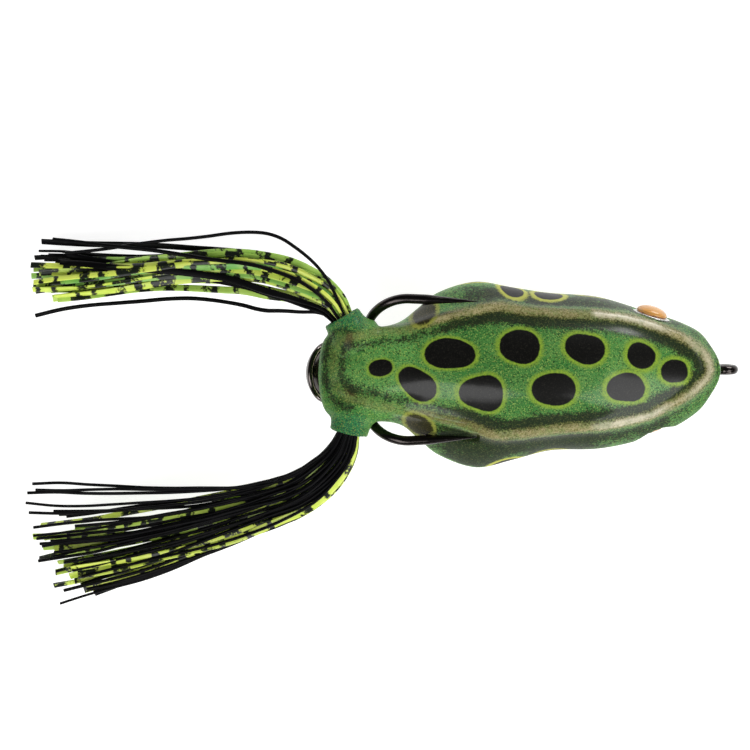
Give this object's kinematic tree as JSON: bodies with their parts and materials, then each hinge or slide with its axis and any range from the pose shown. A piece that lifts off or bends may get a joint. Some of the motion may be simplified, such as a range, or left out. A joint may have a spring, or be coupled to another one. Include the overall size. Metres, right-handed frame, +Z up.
{
  "type": "topwater frog lure",
  "caption": "Hollow soft-bodied frog lure with a shallow popping cup, a weedless double hook, a tail weight and swinging skirt legs.",
  "frame": {"origin": "on the flat of the belly that the lure rests on, under the middle of the body", "axes": "+X to the nose along the body, +Y to the lure's left, +Z up from the belly to the back"},
  "size_m": [0.1155, 0.0596, 0.0219],
  "materials": {
    "soft_skin": "satin, printed",
    "hook_wire": "black nickel",
    "weight_metal": "black nickel, polished",
    "grommet": "satin, cloudy",
    "eye_foil": "glitter foil",
    "eye_lens": "clear, high gloss",
    "leg_band": "matt",
    "black_rubber": "satin",
    "barred_silicone": "satin, barred with black"
  },
  "bodies": {
    "frog": {"frog_body": "soft_skin", "double_hook": "hook_wire", "hook_weight": "weight_metal", "nose_grommet": "grommet", "left_eye_foil": "eye_foil", "left_eye_lens": "eye_lens", "right_eye_foil": "eye_foil", "right_eye_lens": "eye_lens"},
    "left_leg_root": {"left_leg_band": "leg_band"},
    "left_leg": {"left_strand_01": "black_rubber", "left_strand_02": "barred_silicone", "left_strand_03": "black_rubber", "left_strand_04": "barred_silicone", "left_strand_05": "black_rubber", "left_strand_06": "barred_silicone", "left_strand_07": "black_rubber", "left_strand_08": "barred_silicone", "left_strand_09": "black_rubber", "left_strand_10": "barred_silicone", "left_strand_11": "black_rubber", "left_strand_12": "barred_silicone", "left_strand_13": "black_rubber", "left_strand_14": "barred_silicone", "left_strand_15": "black_rubber", "left_strand_16": "barred_silicone", "left_strand_17": "black_rubber", "left_strand_18": "barred_silicone", "left_strand_19": "black_rubber", "left_strand_20": "barred_silicone", "left_strand_21": "black_rubber", "left_strand_22": "barred_silicone", "left_strand_23": "black_rubber", "left_strand_24": "barred_silicone"},
    "right_leg_root": {"right_leg_band": "leg_band"},
    "right_leg": {"right_strand_01": "black_rubber", "right_strand_02": "barred_silicone", "right_strand_03": "black_rubber", "right_strand_04": "barred_silicone", "right_strand_05": "black_rubber", "right_strand_06": "barred_silicone", "right_strand_07": "black_rubber", "right_strand_08": "barred_silicone", "right_strand_09": "black_rubber", "right_strand_10": "barred_silicone", "right_strand_11": "black_rubber", "right_strand_12": "barred_silicone", "right_strand_13": "black_rubber", "right_strand_14": "barred_silicone", "right_strand_15": "black_rubber", "right_strand_16": "barred_silicone", "right_strand_17": "black_rubber", "right_strand_18": "barred_silicone", "right_strand_19": "black_rubber", "right_strand_20": "barred_silicone", "right_strand_21": "black_rubber", "right_strand_22": "barred_silicone", "right_strand_23": "black_rubber", "right_strand_24": "barred_silicone"}
  },
  "joints": [
    {"name": "left_leg_sweep", "type": "hinge", "parent": "frog", "child": "left_leg_root", "pos_m": [-0.0286, 0.0093, 0.0152], "axis": [0, 0, -1], "range_deg": [-12, 28]},
    {"name": "left_leg_lift", "type": "hinge", "parent": "left_leg_root", "child": "left_leg", "pos_m": [-0.0286, 0.0093, 0.0152], "axis": [0.146, 0.9893, 0], "range_deg": [-12, 20]},
    {"name": "right_leg_sweep", "type": "hinge", "parent": "frog", "child": "right_leg_root", "pos_m": [-0.0276, -0.0094, 0.0152], "axis": [0, 0, 1], "range_deg": [-12, 28]},
    {"name": "right_leg_lift", "type": "hinge", "parent": "right_leg_root", "child": "right_leg", "pos_m": [-0.0276, -0.0094, 0.0152], "axis": [-0.3621, 0.9322, 0], "range_deg": [-12, 20]}
  ]
}
